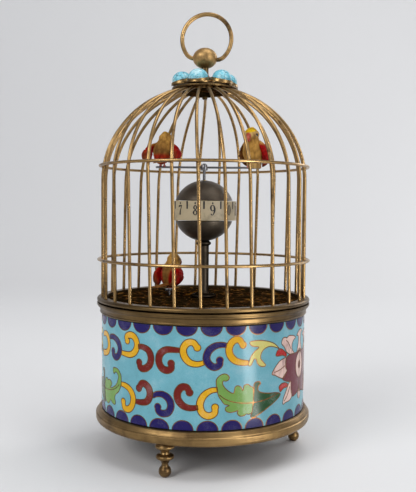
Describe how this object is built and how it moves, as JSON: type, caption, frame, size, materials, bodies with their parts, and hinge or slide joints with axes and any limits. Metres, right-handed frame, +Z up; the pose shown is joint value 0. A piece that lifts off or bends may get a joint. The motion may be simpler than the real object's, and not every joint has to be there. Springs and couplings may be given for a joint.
{
  "type": "birdcage clock",
  "caption": "Birdcage clock: enamelled drum on turned feet, domed wire cage with rocking birds, and a globe ringed by a turning hour band.",
  "frame": {"origin": "on the standing surface, on the axis of the drum", "axes": "+Z up; the front of the picture faces -Y and its right is +X"},
  "size_m": [0.0818, 0.0818, 0.1662],
  "materials": {
    "antique_brass": "satin, browned with age",
    "dark_brass": "embossed and darkened",
    "clock_brass": "polished",
    "steel": "bright",
    "enamel": "glossy enamel on metal",
    "turquoise": "polished stone",
    "globe_metal": "dark grey satin",
    "hour_ivory": "ivory with black numerals",
    "bird_cream": "painted, with red wings"
  },
  "bodies": {
    "base": {"drum_shell": "enamel", "drum_top_rim": "antique_brass", "foot_rim": "antique_brass", "foot_1": "antique_brass", "foot_2": "antique_brass", "foot_3": "antique_brass", "base_plate": "dark_brass", "cage_floor": "dark_brass", "column_tube": "antique_brass", "globe_lower": "globe_metal", "back_plate": "clock_brass", "front_plate": "clock_brass", "hairspring": "steel"},
    "cage": {"cage_ring": "antique_brass", "lower_hoop": "antique_brass", "upper_hoop": "antique_brass", "cage_bars_1": "antique_brass", "cage_bars_2": "antique_brass", "cage_bars_3": "antique_brass", "cage_bars_4": "antique_brass", "cage_bars_5": "antique_brass", "cage_bars_6": "antique_brass", "cage_bars_7": "antique_brass", "cage_bars_8": "antique_brass", "cage_bars_9": "antique_brass", "crown_cap": "antique_brass", "stone_setting": "antique_brass", "stone_1": "turquoise", "stone_2": "turquoise", "stone_3": "turquoise", "stone_4": "turquoise", "stone_5": "turquoise", "stone_6": "turquoise", "finial": "antique_brass", "crown_nut": "dark_brass"},
    "handle": {"handle_ring": "antique_brass"},
    "perch": {"perch_spindle": "steel", "perch_bar": "antique_brass", "perch_bird_left": "bird_cream", "perch_bird_right": "bird_cream", "pallet_lever": "steel", "drive_arm": "steel"},
    "balance": {"balance_wheel": "clock_brass"},
    "floor_bird": {"floor_bird": "bird_cream", "floor_bird_arbor": "steel"},
    "centre": {"centre_wheel": "clock_brass", "setting_knob": "antique_brass"},
    "barrel": {"barrel": "clock_brass", "mainspring": "steel"},
    "winding": {"winding_arbor": "steel", "winding_key": "antique_brass"},
    "click": {"click": "steel"},
    "third": {"third_wheel": "clock_brass"},
    "fourth": {"fourth_wheel": "clock_brass"},
    "escape": {"escape_wheel": "clock_brass"},
    "motion": {"motion_wheel": "clock_brass"},
    "hour": {"hour_pipe": "clock_brass", "hour_band": "hour_ivory", "globe_upper": "globe_metal"},
    "regulator": {"regulator_lever": "steel"}
  },
  "joints": [
    {"name": "cage_lift", "type": "slide", "parent": "base", "child": "cage", "axis": [0, 0, 1], "range_m": [0, 0.07]},
    {"name": "handle_swing", "type": "hinge", "parent": "cage", "child": "handle", "pos_m": [0, 0, 0.1486], "axis": [0.9903, -0.1392, 0], "range_deg": [-100, 100]},
    {"name": "perch_swing", "type": "hinge", "parent": "base", "child": "perch", "pos_m": [0, 0, 0], "axis": [0, 0, 1], "range_deg": [-10, 10]},
    {"name": "balance_swing", "type": "hinge", "parent": "base", "child": "balance", "pos_m": [-0.0099, -0.0099, 0], "axis": [0, 0, 1], "range_deg": [-55, 55]},
    {"name": "floor_bird_swing", "type": "hinge", "parent": "base", "child": "floor_bird", "pos_m": [-0.0134, 0.006, 0], "axis": [0, 0, 1], "range_deg": [-16, 16]},
    {"name": "centre_spin", "type": "hinge", "parent": "base", "child": "centre", "pos_m": [0.00445, 0.01222, 0], "axis": [0, 0, 1], "continuous": true},
    {"name": "barrel_spin", "type": "hinge", "parent": "base", "child": "barrel", "pos_m": [-0.00943, 0.01039, 0], "axis": [0, 0, 1], "continuous": true},
    {"name": "third_spin", "type": "hinge", "parent": "base", "child": "third", "pos_m": [0.01249, 0.00547, 0], "axis": [0, 0, 1], "continuous": true},
    {"name": "fourth_spin", "type": "hinge", "parent": "base", "child": "fourth", "pos_m": [0.01338, -0.00369, 0], "axis": [0, 0, 1], "continuous": true},
    {"name": "escape_spin", "type": "hinge", "parent": "base", "child": "escape", "pos_m": [0.00547, -0.00652, 0], "axis": [0, 0, 1], "continuous": true},
    {"name": "motion_spin", "type": "hinge", "parent": "base", "child": "motion", "pos_m": [0.00936, 0.00351, 0], "axis": [0, 0, 1], "continuous": true},
    {"name": "hour_spin", "type": "hinge", "parent": "base", "child": "hour", "pos_m": [0, 0, 0], "axis": [0, 0, 1], "continuous": true},
    {"name": "winding_spin", "type": "hinge", "parent": "base", "child": "winding", "pos_m": [-0.00943, 0.01039, 0], "axis": [0, 0, 1], "continuous": true},
    {"name": "click_lift", "type": "hinge", "parent": "base", "child": "click", "pos_m": [-0.01373, 0.01784, 0], "axis": [0, 0, -1], "range_deg": [0, 12], "stiffness_Nm_per_rad": 0.0002, "springref_deg": -20.05},
    {"name": "regulator_swing", "type": "hinge", "parent": "base", "child": "regulator", "pos_m": [-0.0099, -0.0099, 0], "axis": [0, 0, 1], "range_deg": [-20, 20]}
  ],
  "couplings": [
    {"joint": "balance_swing", "follows": "perch_swing", "ratio": -5.5},
    {"joint": "floor_bird_swing", "follows": "perch_swing", "ratio": -1.5758},
    {"joint": "barrel_spin", "follows": "centre_spin", "ratio": -0.16667},
    {"joint": "third_spin", "follows": "centre_spin", "ratio": -6},
    {"joint": "fourth_spin", "follows": "centre_spin", "ratio": 40},
    {"joint": "escape_spin", "follows": "centre_spin", "ratio": -240},
    {"joint": "motion_spin", "follows": "centre_spin", "ratio": -0.33333},
    {"joint": "hour_spin", "follows": "centre_spin", "ratio": 0.083333}
  ]
}
